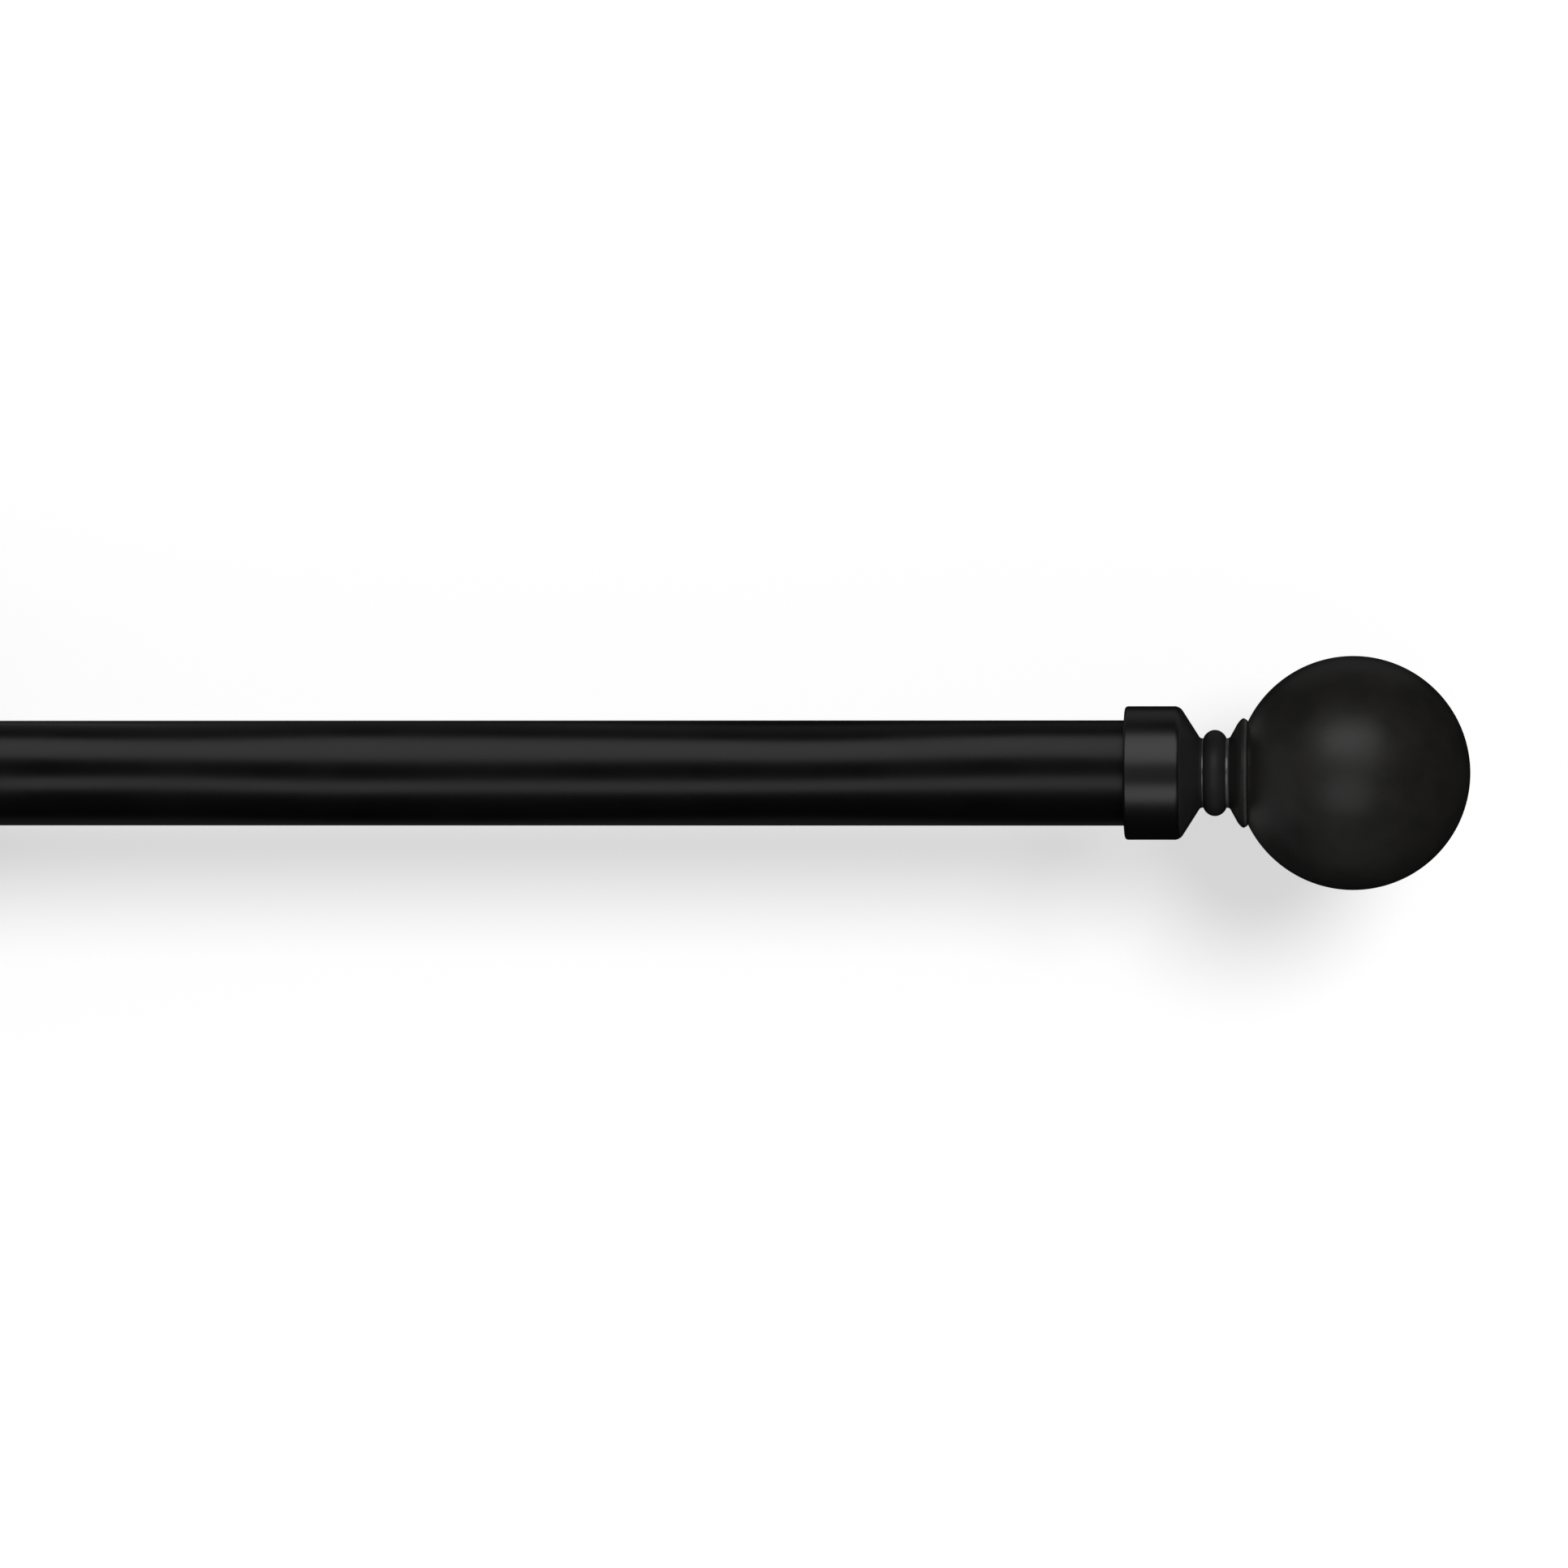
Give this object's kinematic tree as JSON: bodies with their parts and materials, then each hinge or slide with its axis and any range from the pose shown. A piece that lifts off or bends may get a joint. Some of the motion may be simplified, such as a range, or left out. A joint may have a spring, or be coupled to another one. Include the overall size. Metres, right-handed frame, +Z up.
{
  "type": "curtain rod",
  "caption": "Telescopic round curtain rod with ball finials, held in open cradles on two projecting wall brackets.",
  "frame": {"origin": "middle of the four wall fixings, on the face of the wall", "axes": "+X along the rod towards the right-hand finial, +Y into the wall, +Z up"},
  "size_m": [1.1496, 0.1533, 0.084],
  "materials": {
    "tube_black": "satin powder coat on steel tube",
    "cast_black": "satin lacquer on die-cast zinc",
    "ball_black": "matt lacquer on cast resin",
    "bracket_black": "satin powder coat on steel",
    "screw_black": "black oxide on steel",
    "zinc_steel": "bright zinc plate on steel thread",
    "brass": "turned brass",
    "nylon_black": "moulded black nylon",
    "nylon_natural": "moulded natural nylon"
  },
  "bodies": {
    "wall_side": {"right_wall_plate": "bracket_black", "right_arm_sleeve": "bracket_black", "right_lock_screw": "screw_black", "right_wall_screws": "screw_black", "left_wall_plate": "bracket_black", "left_arm_sleeve": "bracket_black", "left_lock_screw": "screw_black", "left_wall_screws": "screw_black"},
    "right_arm": {"right_arm_post": "bracket_black", "right_cradle": "bracket_black", "right_cradle_screw": "screw_black"},
    "left_arm": {"left_arm_post": "bracket_black", "left_cradle": "bracket_black", "left_cradle_screw": "screw_black"},
    "outer_rod": {"outer_tube": "tube_black", "mouth_bush": "nylon_black", "right_tube_plug": "nylon_natural", "right_plug_insert": "brass"},
    "glide": {"inner_glide": "nylon_natural"},
    "inner_rod": {"inner_tube": "tube_black", "left_tube_plug": "nylon_natural", "left_plug_insert": "brass", "left_reducer_sleeve": "nylon_black"},
    "right_pad": {"right_thumb_pad": "nylon_black"},
    "right_thumb": {"right_thumbscrew": "bracket_black"},
    "right_stud": {"right_stud": "zinc_steel"},
    "right_finial": {"right_end_cap": "cast_black", "right_neck_spool": "cast_black", "right_ball": "ball_black", "right_ball_insert": "brass"},
    "left_pad": {"left_thumb_pad": "nylon_black"},
    "left_thumb": {"left_thumbscrew": "bracket_black"},
    "left_stud": {"left_stud": "zinc_steel"},
    "left_finial": {"left_end_cap": "cast_black", "left_neck_spool": "cast_black", "left_ball": "ball_black", "left_ball_insert": "brass"}
  },
  "joints": [
    {"name": "right_projection", "type": "slide", "parent": "wall_side", "child": "right_arm", "axis": [0, -1, 0], "range_m": [0, 0.0254]},
    {"name": "left_projection", "type": "slide", "parent": "wall_side", "child": "left_arm", "axis": [0, -1, 0], "range_m": [0, 0.0254]},
    {"name": "rod_lift", "type": "slide", "parent": "right_arm", "child": "outer_rod", "axis": [0, 0, 1], "range_m": [0, 0.04]},
    {"name": "telescope", "type": "slide", "parent": "outer_rod", "child": "glide", "axis": [-1, 0, 0], "range_m": [-0.295, 0.212]},
    {"name": "inner_tube_twist", "type": "hinge", "parent": "glide", "child": "inner_rod", "pos_m": [0, -0.089, 0], "axis": [-1, 0, 0], "continuous": true},
    {"name": "right_thumb_feed", "type": "slide", "parent": "right_arm", "child": "right_pad", "axis": [0, -1, 0], "range_m": [0, 0.005]},
    {"name": "right_thumb_turn", "type": "hinge", "parent": "right_pad", "child": "right_thumb", "pos_m": [0.18, -0.089, 0], "axis": [0, -1, 0], "range_deg": [0, 2251]},
    {"name": "right_finial_feed", "type": "slide", "parent": "outer_rod", "child": "right_stud", "axis": [1, 0, 0], "range_m": [0, 0.012]},
    {"name": "right_finial_turn", "type": "hinge", "parent": "right_stud", "child": "right_finial", "pos_m": [0.52, -0.089, 0], "axis": [1, 0, 0], "range_deg": [0, 4321]},
    {"name": "left_thumb_feed", "type": "slide", "parent": "left_arm", "child": "left_pad", "axis": [0, -1, 0], "range_m": [0, 0.005]},
    {"name": "left_thumb_turn", "type": "hinge", "parent": "left_pad", "child": "left_thumb", "pos_m": [-0.18, -0.089, 0], "axis": [0, -1, 0], "range_deg": [0, 2251]},
    {"name": "left_finial_feed", "type": "slide", "parent": "inner_rod", "child": "left_stud", "axis": [-1, 0, 0], "range_m": [0, 0.012]},
    {"name": "left_finial_turn", "type": "hinge", "parent": "left_stud", "child": "left_finial", "pos_m": [-0.52, -0.089, 0], "axis": [-1, 0, 0], "range_deg": [0, 4321]}
  ],
  "couplings": [
    {"joint": "left_projection", "follows": "right_projection", "ratio": 1},
    {"joint": "right_thumb_turn", "follows": "right_thumb_feed", "rad_per_m": 7854},
    {"joint": "right_finial_turn", "follows": "right_finial_feed", "rad_per_m": 6283.2},
    {"joint": "left_thumb_turn", "follows": "left_thumb_feed", "rad_per_m": 7854},
    {"joint": "left_finial_turn", "follows": "left_finial_feed", "rad_per_m": 6283.2}
  ]
}
